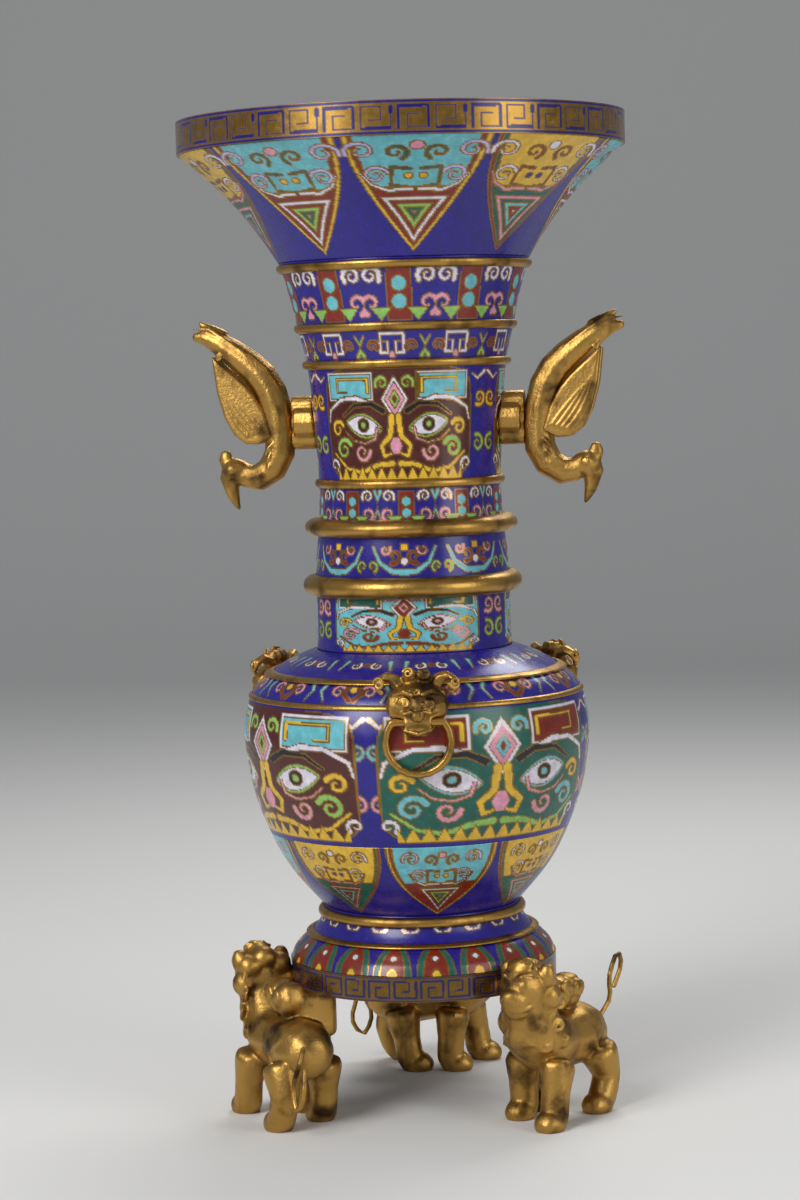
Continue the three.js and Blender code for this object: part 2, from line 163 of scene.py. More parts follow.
def enamel_finish():
    """The painted colour times a cloud noise; metallic where the paint's alpha says cell wall."""
    material, tree = new_material("enamel_in_cells")
    paint = add(tree, "ShaderNodeAttribute", attribute_name="paint")
    where = add(tree, "ShaderNodeTexCoord").outputs["Object"]
    cloud = add(tree, "ShaderNodeTexNoise",
                {"Vector": where, "Scale": CLOUDS_PER_METRE, "Detail": 4.0}).outputs["Fac"]
    hole = add(tree, "ShaderNodeTexVoronoi", {"Vector": where, "Scale": PINHOLES_PER_METRE})
    shade = add(tree, "ShaderNodeMapRange",
                {"Value": cloud, "From Min": 0.3, "From Max": 0.7, "To Min": 0.78, "To Max": 1.12})
    tint = add(tree, "ShaderNodeMix",
               {"Factor": 1.0, COLOUR_A: paint.outputs["Color"], COLOUR_B: shade.outputs["Result"]},
               data_type="RGBA", blend_type="MULTIPLY")
    wall = add(tree, "ShaderNodeMath", {0: paint.outputs["Alpha"], 1: 0.9}, operation="MULTIPLY")
    gloss = add(tree, "ShaderNodeMapRange", {"Value": cloud, "To Min": 0.16, "To Max": 0.36})
    dents = add(tree, "ShaderNodeMapRange",
                {"Value": hole.outputs["Distance"], "From Min": 0.0, "From Max": 0.12})
    bump = add(tree, "ShaderNodeBump",
               {"Height": dents.outputs["Result"], "Strength": 0.25, "Distance": PINHOLE_DEPTH * MM})
    skin = add(tree, "ShaderNodeBsdfPrincipled", {
        "Base Color": tint.outputs[COLOUR_OUT], "Metallic": wall.outputs[0],
        "Roughness": gloss.outputs["Result"], "Normal": bump.outputs["Normal"], "IOR": GLASS_INDEX})
    add(tree, "ShaderNodeOutputMaterial", {"Surface": skin.outputs["BSDF"]})
    return material


enamel_in_cells = enamel_finish()
print("glass:", enamel_in_cells.name)

# %% [markdown]
# The body is a surface of revolution, cast in sections. Each section's outline is a smooth curve through
# a few measured stations of radius and height, the same as in the model. Most zones of enamel end under
# a moulding, and such a height is named after it.

# %% Outlines
MOUTH = [(178, 774), (162, 759.7), (141.4, 740.2), (124.4, 720.6), (110.4, 701), (101, 686)]
NECK = [(101, 686), (92.5, 658), (87, 633), (80.5, 604), (76.5, 560), (73.6, 509), (75, 474),
        (77.5, 450), (78.5, 420), (79, 375)]
BELLY = [(81, 375), (103, 366), (122, 354), (132.5, 342), (138.5, 325), (140.2, 303), (134.5, 263),
         (120.8, 224.6), (104.6, 195.5), (79.6, 166)]
FOOT = [(79.6, 166), (81.5, 157), (87.5, 147), (98, 138), (104.5, 131), (108, 123)]
RIM_TOP, MOUTH_TOP, NECK_TOP, BELLY_TOP, FOOT_TOP = 800, MOUTH[0][1], NECK[0][1], BELLY[0][1], FOOT[0][1]
FOOT_BOTTOM, FRET_BOTTOM = FOOT[-1][1], 103
BAND_2, BAND_3, BAND_4, COLLAR_UPPER, COLLAR_LOWER, SHOULDER_LINE_2 = 633, 604, 509, 474, 427, 339
CURVE_POINTS = 400


def outline(stations):
    """Catmull-Rom curve: between two stations p1 and p2 the slope at each is half the chord round it."""
    p = np.array(stations, float)
    t = np.linspace(0, len(p) - 1, CURVE_POINTS)
    i = np.minimum(t.astype(int), len(p) - 2)
    w = (t - i)[:, None]
    p0, p1 = p[np.maximum(i - 1, 0)], p[i]
    p2, p3 = p[i + 1], p[np.minimum(i + 2, len(p) - 1)]
    a, b = (p2 - p0) / 2, (p3 - p1) / 2
    return (2 * p1 - 2 * p2 + a + b) * w ** 3 + (3 * p2 - 3 * p1 - 2 * a - b) * w ** 2 + a * w + p1


def arc_length(line):
    """The way along the line to each of its points: the running sum of the chords."""
    return np.concatenate([[0], np.cumsum(np.hypot(*np.diff(line, axis=0).T))])


def stretch(stations, top, bottom, step):
    """The outline between two heights, in even steps of arc length."""
    line = outline(stations)
    length = arc_length(line)
    s0, s1 = (np.interp(h, line[::-1, 1], length[::-1]) for h in (top, bottom))
    s = np.linspace(s0, s1, max(int((s1 - s0) / step) + 1, 3))
    return np.stack([np.interp(s, length, line[:, 0]), np.interp(s, length, line[:, 1])], 1)


print("widest radius of the belly:", round(outline(BELLY)[:, 0].max(), 1))

# %% [markdown]
# A piece of the body is a grid: columns round the axis, rows down its outline and up its inside. A mesh
# becomes a piece when it rides on a body and takes its material; the model's nodes it stands for are hidden.

# %% Turned pieces
def mesh_piece(name, points, faces, material, body="root", nodes=(), smooth=True):
    """A mesh of points in millimetres, as a piece of the vase."""
    mesh = bpy.data.meshes.new(name)
    mesh.from_pydata((np.asarray(points) * MM).tolist(), [], np.asarray(faces).tolist())
    if smooth:
        mesh.polygons.foreach_set("use_smooth", np.ones(len(mesh.polygons), bool))
    mesh.materials.append(material)
    piece = bpy.data.objects.new(name, mesh)
    bpy.context.scene.collection.objects.link(piece)
    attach(piece, body)
    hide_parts(*nodes)
    print(name, "faces", len(mesh.polygons))
    return piece


def turned(profile, columns):
    """Point (row, column) is (r sin a, -r cos a, z) with a going once round; the profile is closed."""
    a = np.linspace(0, 2 * np.pi, columns, endpoint=False)
    r, z = profile[:, :1], profile[:, 1:]
    points = np.stack([r * np.sin(a), -r * np.cos(a), z + 0 * a], 2).reshape(-1, 3)
    row = np.arange(len(profile))[:, None]
    col = np.arange(columns)[None, :]
    below, beside = (row + 1) % len(profile), (col + 1) % columns
    quads = [row * columns + col, below * columns + col, below * columns + beside, row * columns + beside]
    return points, np.stack([q + 0 * (row + col) for q in quads], 2).reshape(-1, 4), a


print("faces of a tube with 3 rows and 8 columns:", len(turned(np.eye(3)[:, :2], 8)[1]))

# %% [markdown]
# The designs are drawn as a maker bends cell walls: each motif is a shape with a signed distance, which
# is negative inside. Laying a shape fills its inside with one glass and leaves a thin metal wall on its
# edge. A pen stroke is the distance to a bent line, so scrolls and hooks are strokes too.

# %% Drawing kit
CELL_WALL = 0.5
WALL_TARNISH = 0.55
STROKE_TAPER = 0.6


class Panel:
    """The glass colour, and how much cell wall shows, at each point of a grid."""

    def __init__(self, shape, ground, wall=CELL_WALL):
        self.wall = wall
        self.rgb = np.empty(shape + (3,))
        self.rgb[:] = INK[ground]
        self.metal = np.zeros(shape)

    def lay(self, distance, colour, where=True):
        """Glass where the distance is negative, metal where it is nearer to 0 than the wall."""
        inside = (distance < 0) & where
        edge = (np.abs(distance) < self.wall) & where
        self.rgb[inside] = INK[colour]
        self.metal[inside] = 0
        self.rgb[edge] = INK["gilt"] * WALL_TARNISH
        self.metal[edge] = 1


def disc(x, y, cx, cy, radius):
    """The way to the centre, less the radius."""
    return np.hypot(x - cx, y - cy) - radius


def block(x, y, cx, cy, half_width, half_height):
    """The larger of how far the point is past the block's side and past its top."""
    return np.maximum(np.abs(x - cx) - half_width, np.abs(y - cy) - half_height)


def stroke(x, y, path, width):
    """Distance to the nearest stretch of the path, less half the width; the width tapers to its end."""
    path = np.array(path, float)
    best = np.full(x.shape, np.inf)
    count = len(path) - 1
    for k in range(count):
        (ax, ay), (bx, by) = path[k], path[k + 1]
        dx, dy = bx - ax, by - ay
        t = np.clip(((x - ax) * dx + (y - ay) * dy) / (dx * dx + dy * dy + 1e-9), 0, 1)
        half = width / 2 * (1 - STROKE_TAPER * (k + t) / count)
        best = np.minimum(best, np.hypot(x - ax - t * dx, y - ay - t * dy) - half)
    return best


def curl(cx, cy, radius, turns=1.2, start=0.0, hand=1):
    """A spiral: the angle runs through the turns while the radius shrinks to a fifth."""
    t = np.linspace(0, 1, int(10 * turns) + 4)
    angle = start + hand * 2 * np.pi * turns * t
    r = radius * (1 - 0.8 * t)
    return np.stack([cx + r * np.cos(angle), cy + r * np.sin(angle)], 1)


print("points in one curl:", len(curl(0, 0, 5)))

# %% [markdown]
# A design drawn once is repeated round the vase by folding the angle: every point takes the place that
# it has in its own unit, and the unit's number chooses between two sets of glass.

# %% Zones
SECTION_WALL = 4.0
INSIDE_ROWS = 12
INSIDE_TARNISH = 0.35


def folded(a, count, phase):
    """The angle from the middle of the nearest of count units, and that unit's number."""
    unit = 2 * np.pi / count
    turn = (a - math.radians(phase)) / unit
    number = np.floor(turn + 0.5)
    return (turn - number) * unit, number.astype(int) % count


def centred(a, v, r, length, count, phase):
    """x is the folded angle times the radius, y the way down from the middle of the zone."""
    x, _ = folded(a, count, phase)
    return x * r, v - length / 2


def paint(piece, shape, darkening, panel):
    """The panel on the first rows of the grid, dark metal on the others."""
    colours = np.ones(shape + (4,))
    colours[:, :, :3] = INK["gilt"] * darkening
    rows = len(panel.rgb)
    colours[:rows, :, :3] = panel.rgb
    colours[:rows, :, 3] = panel.metal
    layer = piece.data.attributes.new("paint", "FLOAT_COLOR", "POINT")
    layer.data.foreach_set("color", colours.ravel())


def zone(name, node, stations, top, bottom, draw, columns, step):
    """The wall between two heights: its outer rows a step apart, its inner ones far fewer."""
    outer = stretch(stations, top, bottom, step)
    inner = outer[:: max(len(outer) // INSIDE_ROWS, 1)][::-1] - [SECTION_WALL, 0]
    profile = np.concatenate([outer, inner])
    points, quads, a = turned(profile, columns)
    run = arc_length(outer)
    across, down = np.meshgrid(a, run)
    panel = draw(across, down, outer[:, :1] + 0 * across, run[-1])
    piece = mesh_piece(name, points, quads, enamel_in_cells, nodes=[node])
    paint(piece, (len(profile), columns), INSIDE_TARNISH, panel)


print("a quarter round lies in unit", folded(np.array([np.pi / 2]), 4, 0)[1][0], "of four")

# %% [markdown]
# Plantain-leaf blades hang from the rim and, smaller, under the belly. Each narrows to a point. Inside
# it lie a border, a lower field, an upper field with paired scrolls, and nested triangles.

# %% Mouth blades
BLADE_GLASS = [
    {"edge": "yellow", "low": "oxblood", "high": "turquoise", "frame": "white", "nest": "leaf",
     "core": "pink", "hook": "lilac", "scroll": "green", "spot": "yellow"},
    {"edge": "oxblood", "low": "green", "high": "yellow", "frame": "pink", "nest": "turquoise",
     "core": "white", "hook": "white", "scroll": "oxblood", "spot": "lapis"},
]
NESTED = ["frame", "low", "nest", "scroll", "core"]
BLADE_DRAWN = 110.0
BLADE_WALL = 0.6


def blades(a, v, length, count, phase, half):
    """The half width is 0.97 half (1 - t^2.4), t being the way down; drawn for a blade of 110 mm."""
    unit, number = folded(a, count, phase)
    panel = Panel(a.shape, "lapis", BLADE_WALL)
    x, y, tip = unit / (math.pi / count) * (half + 1), v - 1, length * 0.95
    s = tip / BLADE_DRAWN
    ax = np.abs(x)
    body = np.maximum(ax - half * (1 - np.clip(y / tip, 0, 1.3) ** 2.4) * 0.97, y - tip)
    wedge = np.maximum((ax + 0.62 * (y - 103 * s)) / 1.18, 61 * s - y)
    for kind, glass in enumerate(BLADE_GLASS):
        def lay(distance, part):
            panel.lay(distance, glass[part], number % 2 == kind)

        def line(path, width):
            return stroke(ax, y, np.array(path) * s, width * s)

        lay(body, "edge")
        lay(body + 3.2 * s, "low")
        lay(np.maximum(body + 6.5 * s, y - 52 * s), "high")
        lay(line(curl(34, 15, 10, 1.3, 0.3, -1), 3.6), "hook")
        lay(line(curl(13, 17, 8, 1.2, 2.2, 1), 3.2), "scroll")
        lay(line(curl(27, 40, 9, 1.3, 3.4, 1), 3.4), "hook")
        lay(line([(4, 34), (16, 32), (17, 50), (6, 51)], 3), "scroll")
        lay(disc(x, y, 0, 10 * s, 4.5 * s), "core")
        lay(disc(ax, y, 5 * s, 41 * s, 3 * s), "spot")
        lay(line([(3, 54), (20, 55), (31, 49), (37, 38)], 4), "frame")
        for step, part in enumerate(NESTED):
            lay(wedge + 3.3 * s * step, part)
    return panel


def mouth_drawing(a, v, r, length):
    """Nine blades of 40 degrees."""
    return blades(a, v, length, 9, 4, 45)


zone("mouth_enamel", "mouth", MOUTH, MOUTH_TOP, NECK_TOP, mouth_drawing, columns=700, step=1.1)

# %% [markdown]
# The neck's first zone has oxblood niches with two turquoise spots, between scrolls and small green
# triangles. The same design, smaller, comes again lower down the neck.

# %% Niches
NECK_GRID = {"columns": 560, "step": 0.9}
NICHE_DRAWN = 34.0


def niches(a, v, r, length):
    """Ten units, drawn for a zone of 34 mm and scaled to the zone's length."""
    x, y = centred(a, v, r, length, 10, -3)
    panel = Panel(x.shape, "lapis")
    s = length / NICHE_DRAWN
    ax = np.abs(x)
    panel.lay(block(x, y, 0, 1 * s, 6 * s, 13 * s), "oxblood")
    panel.lay(disc(x, y, 0, -4 * s, 3.8 * s), "turquoise")
    panel.lay(disc(x, y, 0, 5 * s, 3.8 * s), "turquoise")
    panel.lay(stroke(ax, y, curl(14, -8, 5, 1.3, 2.6, 1) * s, 2.8 * s), "white")
    panel.lay(stroke(ax, y, curl(14, 6, 5.5, 1.0, 1.2, -1) * s, 3 * s), "pink")
    panel.lay(stroke(ax, y, np.array([(20, -12), (24, -2), (20, 10)]) * s, 3 * s), "turquoise")
    panel.lay(np.maximum(np.abs(ax - 9 * s) + 0.8 * (y - 14 * s), 8 * s - y) - 0.5, "leaf")
    return panel


zone("neck_upper_niches", "neck", NECK, NECK_TOP, BAND_2, niches, **NECK_GRID)

# %% [markdown]
# Thunder hooks are square spirals in pairs, back to back, with a round scroll outside each.

# %% Thunder hooks
THUNDER_DRAWN = 26.0
HOOK = np.array([(0.1, -1), (1, -1), (1, 0.7), (0.35, 0.7), (0.35, -0.3), (0.7, -0.3)])
HOOK_SIZE = 8.0


def thunder(a, v, r, length):
    """Ten pairs of hooks, drawn for a zone of 26 mm."""
    x, y = centred(a, v, r, length, 10, -8)
    panel = Panel(x.shape, "lapis")
    s = length / THUNDER_DRAWN
    ax, size = np.abs(x), HOOK_SIZE * s
    panel.lay(stroke(ax, y, HOOK * size, size * 0.34), "white")
    panel.lay(stroke(ax, y, curl(1.75, 0.1, 0.55, 1.1, 2.6, 1) * size, size * 0.32), "oxblood")
    panel.lay(stroke(ax, y, np.array([(20, 8), (24, 2), (20, -6)]) * s, 3 * s), "leaf")
    panel.lay(disc(x, y, 0, 7 * s, 2.4 * s), "pink")
    return panel


zone("neck_thunder", "neck", NECK, BAND_2, BAND_3, thunder, **NECK_GRID)

# %% [markdown]
# The monster face is the oldest motif on ritual bronzes: two eyes either side of a nose ridge, horn
# panels, a lozenge on the brow and a toothed jaw. One function draws it in any size and set of glass.

# %% Monster face
FACE_GLASS = {
    "oxblood": {"ground": "brown", "horn": "turquoise", "line": "white", "brow": "pink", "nose": "yellow",
                "scroll": "leaf", "jaw": "yellow"},
    "green": {"ground": "green", "horn": "oxblood", "line": "white", "brow": "pink", "nose": "yellow",
              "scroll": "turquoise", "jaw": "leaf"},
    "turquoise": {"ground": "turquoise", "horn": "green", "line": "white", "brow": "oxblood",
                  "nose": "yellow", "scroll": "pink", "jaw": "oxblood"},
}
FACE_HALF_WIDTH, FACE_HALF_HEIGHT = 60.0, 40.0


def monster(panel, x, y, w, h, glass, here):
    """x and y start at the face's middle, y growing downwards; w and h are its half width and height.
    A part that the glass doesn't name is itself the name of a colour."""
    au, v = np.abs(x / w * FACE_HALF_WIDTH), y / h * FACE_HALF_HEIGHT

    def lay(distance, part):
        panel.lay(distance * w / FACE_HALF_WIDTH, glass.get(part, part), here)

    def line(path, width, part):
        lay(stroke(au, v, path, width), part)

    head = ((au / 60) ** 6 + (np.abs(v) / 39) ** 6) ** (1 / 6) * 40 - 39.5
    lay(head, "ground")
    horn = block(au, v, 36, -26, 20, 10)
    lay(horn, "white")
    lay(horn + 1.6, "horn")
    line([(20, -22), (20, -31), (46, -31), (46, -22), (38, -22)], 2.6, "nose")
    line([(20, -14), (30, -18), (44, -17), (56, -10), (58, -2)], 4.2, "line")
    line([(9, -9), (18, -14), (32, -13), (42, -6)], 4.5, "black")
    eye = np.abs(au - 25)
    almond = np.abs(v - 1 + 0.16 * (au - 25)) - 8.5 * (1 - (eye / 16) ** 2)
    lay(np.maximum(almond, eye - 15), "scroll")
    lay(np.maximum(almond + 1.8, eye - 14), "white")
    lay(disc(au, v, 25, 0.5, 4.6), "black")
    lay(disc(au, v, 25, 0.5, 2.2), "scroll")
    lozenge = au + 0.62 * np.abs(v + 17)
    for size, part in ((10, "line"), (7.5, "brow"), (4.2, "scroll"), (1.8, "oxblood")):
        lay(lozenge - size, part)
    line([(2.5, -5), (4, 8), (11, 15), (9, 22), (3, 20)], 5, "nose")
    lay(np.maximum(au - 5 + 0.4 * np.abs(v - 15), np.abs(v - 15) - 6), "brow")
    line(curl(49, 3, 6, 1.2, 3.6, 1), 3.4, "nose")
    line(curl(44, 17, 7.5, 1.3, 3.6, 1), 3.8, "scroll")
    line(curl(27, 19, 6.5, 1.2, 3.2, -1), 3.4, "brow")
    line(curl(56, 28, 5, 1.0, 2.4, 1), 3, "white")
    line([(3, 27), (15, 28), (28, 33), (42, 30), (54, 20)], 4.5, "jaw")
    tooth = np.abs(au % 8 - 4)
    lay(np.maximum(tooth + 0.5 * (34 - v) - 2.6, np.maximum(au - 52, v - 38)), "nose")
    line(curl(9, -28, 5, 1.2, 0.4, -1), 3, "scroll")
    line([(14, 3), (16, 10), (24, 13), (34, 11), (41, 5)], 2.2, "pink")


print("face glasses:", list(FACE_GLASS))

# %% [markdown]
# A row of faces fills the tallest zone of the neck. Where two faces meet, small scrolls fill the corner.
# Below it the niches and a row of crescents follow, and then a row of turquoise faces.

# %% Rows of faces
FACE_SHARE_OF_ZONE = 0.485


def row_of_faces(count, phase, kinds, spread, corner_scrolls):
    """A drawing of count faces in turn of the kinds; spread is a face's share of its unit's width."""
    def draw(a, v, r, length):
        angle, number = folded(a, count, phase)
        half_unit = math.pi / count
        width = 0.5 * (r.max() + r.min()) * half_unit
        x, y = angle / half_unit * width, v - length / 2
        panel = Panel(x.shape, "lapis")
        side = width - np.abs(x)
        panel.lay(stroke(side, y, curl(7, -length * 0.2, 6.5, 1.3, 1.0, 1), 3.6), corner_scrolls[0])
        panel.lay(stroke(side, y, curl(8, length * 0.18, 7, 1.2, 5.0, -1), 3.6), corner_scrolls[1])
        wave = [(2, -length * 0.42), (10, -length * 0.36), (16, -length * 0.4)]
        panel.lay(stroke(side, y, wave, 3.4), "white")
        for kind, name in enumerate(kinds):
            monster(panel, x, y, width * spread, length * FACE_SHARE_OF_ZONE, FACE_GLASS[name],
                    number % len(kinds) == kind)
        return panel
    return draw


zone("neck_faces", "neck", NECK, BAND_3, BAND_4,
     row_of_faces(3, -8, ["oxblood"], 0.80, ["yellow", "leaf"]), **NECK_GRID)
zone("neck_lower_niches", "neck", NECK, BAND_4, COLLAR_UPPER,
     niches, **NECK_GRID)

# %% [markdown]
# Between the two round collars lies a row of turquoise crescents that hold scrolls and a yellow square.

# %% Crescents and the low faces
def crescents(a, v, r, length):
    """Eight units, drawn at full size."""
    x, y = centred(a, v, r, length, 8, -5)
    panel = Panel(x.shape, "lapis")
    ax = np.abs(x)
    panel.lay(stroke(ax, y, [(0, 11), (10, 10), (20, 3), (25, -9)], 5.5), "turquoise")
    panel.lay(stroke(ax, y, curl(8, -2, 6, 1.0, 1.2, 1), 3), "oxblood")
    panel.lay(stroke(ax, y, curl(15, -7, 4.5, 1.1, 3.6, -1), 2.6), "pink")
    panel.lay(block(x, y, 0, -9, 3, 3), "yellow")
    panel.lay(disc(x, y, 0, 2, 3.2), "white")
    panel.lay(stroke(ax, y, curl(26, 6, 4.5, 1.1, 2.0, 1), 2.6), "leaf")
    return panel


zone("neck_crescents", "neck", NECK, COLLAR_UPPER, COLLAR_LOWER,
     crescents, **NECK_GRID)
zone("neck_low_faces", "neck", NECK, COLLAR_LOWER, BELLY_TOP,
     row_of_faces(3, -6, ["turquoise"], 0.78, ["pink", "leaf"]), **NECK_GRID)

# %% [markdown]
# The shoulder has two rows of small figures. The belly below is
# filled by four great faces, green and brown in turn, and its underside by eight blades.

# %% Shoulder and belly
FACES_BOTTOM = 228.0


def shoulder_drawing(a, v, r, length):
    """Twelve units, drawn at full size; the lower row stands 14 mm above the zone's end."""
    x, y = centred(a, v, r, length, 12, 7)
    panel = Panel(x.shape, "lapis")
    ax = np.abs(x)
    low = length / 2 - 14
    panel.lay(stroke(ax, y, curl(13, low, 7, 1.3, 2.6, 1), 3.6), "pink")
    panel.lay(stroke(ax, y, [(2, low + 8), (8, low + 2), (4, low - 8)], 4), "oxblood")
    panel.lay(stroke(ax, y, [(24, low - 9), (29, low), (25, low + 9)], 4), "turquoise")
    panel.lay(disc(x, y, 0, low - 2, 3.4), "yellow")
    panel.lay(stroke(ax, y, curl(9, -length * 0.2, 5, 1.2, 4.0, -1), 3), "white")
    panel.lay(stroke(ax, y, [(18, -length * 0.3), (22, -length * 0.1)], 4), "turquoise")
    panel.lay(disc(x, y, 0, -length * 0.22, 3), "oxblood")
    return panel


def lower_blades(a, v, r, length):
    """Eight blades of 45 degrees."""
    return blades(a, v, length, 8, 8, 41)


zone("shoulder_enamel", "belly", BELLY, BELLY_TOP, SHOULDER_LINE_2, shoulder_drawing, columns=800, step=1.0)
zone("belly_faces", "belly", BELLY, SHOULDER_LINE_2, FACES_BOTTOM,
     row_of_faces(4, -62, ["oxblood", "green"], 0.93, ["turquoise", "pink"]), columns=720, step=1.1)
zone("belly_blades", "belly", BELLY, FACES_BOTTOM, FOOT_TOP, lower_blades, columns=800, step=1.0)

# %% [markdown]
# The foot has a white wave above and a row of petals below, each petal oxblood in a green border.

# %% Foot
WAVES, PETALS = 20, 19
WAVE_SHARE = 0.42


def foot_drawing(a, v, r, length):
    """A petal's half width is 13 times the root of 1 - (1 - t)^2.5, t being the way down the petal."""
    angle, _ = folded(a, WAVES, 2)
    split = length * WAVE_SHARE
    panel = Panel(a.shape, "lapis")
    wave_x = np.abs(angle / (math.pi / WAVES) * 13)
    panel.lay(stroke(wave_x, v, [(0, 5), (5, 6), (8, 12), (12, 13)], 4.2), "white", v < split)
    angle, _ = folded(a, PETALS, 5)
    x = angle / (math.pi / PETALS) * 15
    t = np.clip((v - split - 2) / (length - split), 0, 1)
    petal = np.abs(x) - 13 * np.sqrt(1 - (1 - t) ** 2.5)
    petal = np.where(v > split + 2, petal, 9)
    panel.lay(petal, "green")
    panel.lay(petal + 4.5, "oxblood")
    panel.lay(disc(x, v, 0, split + (length - split) * 0.5, 2.6), "white")
    panel.lay(disc(x, v * 0.6, 0, length * 0.6, 3.4), "yellow")
    return panel


zone("foot_enamel", "foot", FOOT, FOOT_TOP, FOOT_BOTTOM, foot_drawing, columns=700, step=0.9)

# %% [markdown]
# The rim and the foot end in broad gilt bands with a key fret let in with blue. Each hook is a square
# spiral, and every second one is turned over. Metal and glass of both bands are drawn darker, the foot's
# band much darker than the rim's.

# %% Fret bands
FRET_COLUMNS = 900


def fret_band(name, node, radius, top, bottom, thick, count, darkening):
    """A straight band with count hooks; both the metal and the glass are multiplied by the darkening."""
    heights = np.linspace(top, bottom, int(top - bottom) + 1)
    outer = np.stack([np.full(len(heights), float(radius)), heights], 1)
    inner = np.array([[radius - thick, bottom], [radius - thick, top]], float)
    profile = np.concatenate([outer, inner])
    points, quads, a = turned(profile, FRET_COLUMNS)
    across, down = np.meshgrid(a, top - heights)
    angle, number = folded(across, count, 3)
    turned_over = np.where(number % 2 == 0, 1, -1)
    tall = (top - bottom) / 2
    x, y = angle * radius * turned_over, (down - tall) * turned_over
    w, h = math.pi / count * radius * 0.8, tall * 0.62
    key = [(-w, h), (-w, -h), (w, -h), (w, h), (-0.35 * w, h), (-0.35 * w, -0.25 * h), (0.4 * w, -0.25 * h)]
    panel = Panel(x.shape, "gilt", wall=0.0)
    panel.metal[:] = 1
    panel.lay(stroke(x, y, key, 2.6), "lapis")
    panel.lay(np.abs(np.abs(y) - tall * 0.88) - 0.8, "lapis")
    # Both the metal and the glass are drawn darker: 0.62 times on the rim's band, 0.36 times on the foot's.
    panel.rgb *= darkening
    piece = mesh_piece(name, points, quads, enamel_in_cells, nodes=[node], smooth=False)
    paint(piece, (len(profile), FRET_COLUMNS), darkening, panel)


fret_band("rim_fret", "rim_band", 180, RIM_TOP, MOUTH_TOP, 7, 40, 0.62)
fret_band("foot_fret", "foot_fret_band", 108.5, FOOT_BOTTOM, FRET_BOTTOM, 5, 32, 0.36)

# %% [markdown]
# The gilt mouldings between the zones are half-round rings. Each is turned from a half circle that
# stands out from the wall as far as the model's ring does, and sits where that ring sits.

# %% Gilt mouldings
RINGS = ["band_1", "band_2", "band_3", "band_4", "collar_upper", "collar_lower", "shoulder_line_1",
         "shoulder_line_2", "foot_ring_top", "foot_line_mid"]
MOULDING_COLUMNS = 256
LIP = 0.4
for ring_name in RINGS:
    low, high = (np.array(corner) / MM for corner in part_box(ring_name))
    middle, half = (low[2] + high[2]) / 2, (high[2] - low[2]) / 2
    section = outline(NECK if middle > BELLY_TOP else BELLY if middle > FOOT_TOP else FOOT)[::-1]
    t = np.linspace(-1, 1, 19)
    seat = np.interp(middle + half * t, section[:, 1], section[:, 0])
    proud = high[0] - np.interp(middle, section[:, 1], section[:, 0])
    bulge = seat + LIP + (proud - LIP) * np.sqrt(1 - (t * 0.98) ** 2)
    outer = np.stack([bulge, middle + half * t], 1)[::-1]
    inner = np.stack([seat + LIP / 2, middle + half * t], 1)[::6]
    points, quads, _ = turned(np.concatenate([outer, inner]), MOULDING_COLUMNS)
    mesh_piece(ring_name + "_moulding", points, quads, fire_gilt_band, nodes=[ring_name])

# %% [markdown]
# Hair, feathers and brows are raised cords on the castings: a circle carried along a bent line. A lock
# of hair is such a cord wound into a spiral that rises from the skin towards its middle.

# %% Cords and locks
CORD_SIDES = 8
OFF_PATH = [0.13, 0.27, 0.95]
OFF_NORMAL = [0.02, 0.1, 1.0]


def direction(vector):
    """The vector, or each row of it, over its own length."""
    return vector / np.linalg.norm(vector, axis=-1, keepdims=True)


def cord(path, radius):
    """Point (i, j) is the path's point i plus radius i times a unit circle square to the path."""
    path, radius = np.asarray(path, float), np.asarray(radius, float)
    run = direction(np.gradient(path, axis=0))
    side = direction(np.cross(run, OFF_PATH))
    up = np.cross(run, side)
    a = np.linspace(0, 2 * np.pi, CORD_SIDES, endpoint=False)[None, :, None]
    points = path[:, None] + radius[:, None, None] * (np.cos(a) * side[:, None] + np.sin(a) * up[:, None])
    i, j = np.arange(len(path) - 1)[:, None] * CORD_SIDES, np.arange(CORD_SIDES)[None, :]
    k = (j + 1) % CORD_SIDES
    quads = np.stack([i + j, i + k, i + CORD_SIDES + k, i + CORD_SIDES + j], 2).reshape(-1, 4)
    last = (len(path) - 1) * CORD_SIDES
    ends = [list(range(CORD_SIDES))[::-1], list(range(last, last + CORD_SIDES))]
    return points.reshape(-1, 3), quads.tolist() + ends


def lock(centre, normal, size, turns=1.4, hand=1, thick=0.3):
    """A raised spiral that lies on a surface: its radius shrinks while it turns about the normal."""
    centre, normal = np.array(centre, float), direction(np.array(normal, float))
    side = direction(np.cross(normal, OFF_NORMAL))
    up = np.cross(normal, side)
    t = np.linspace(0, 1, 22)
    angle = hand * 2 * np.pi * turns * t
    r = size * (1 - 0.85 * t)
    path = centre + r[:, None] * (np.cos(angle)[:, None] * side + np.sin(angle)[:, None] * up)
    path = path + (normal * size * 0.35) * t[:, None]
    return cord(path, size * thick * (1 - 0.35 * t))


print("points in one lock:", len(lock((0, 0, 0), (0, 0, 1), 5)[0]))

# %% [markdown]
# The animals are castings: soft forms run into one another with no edge between them. A surface with
# two parameters can't branch, so each is the model's own form, closed into one skin by a voxel remesh of
# about a millimetre and softened. The cords are joined to it in a second, sharper skin.

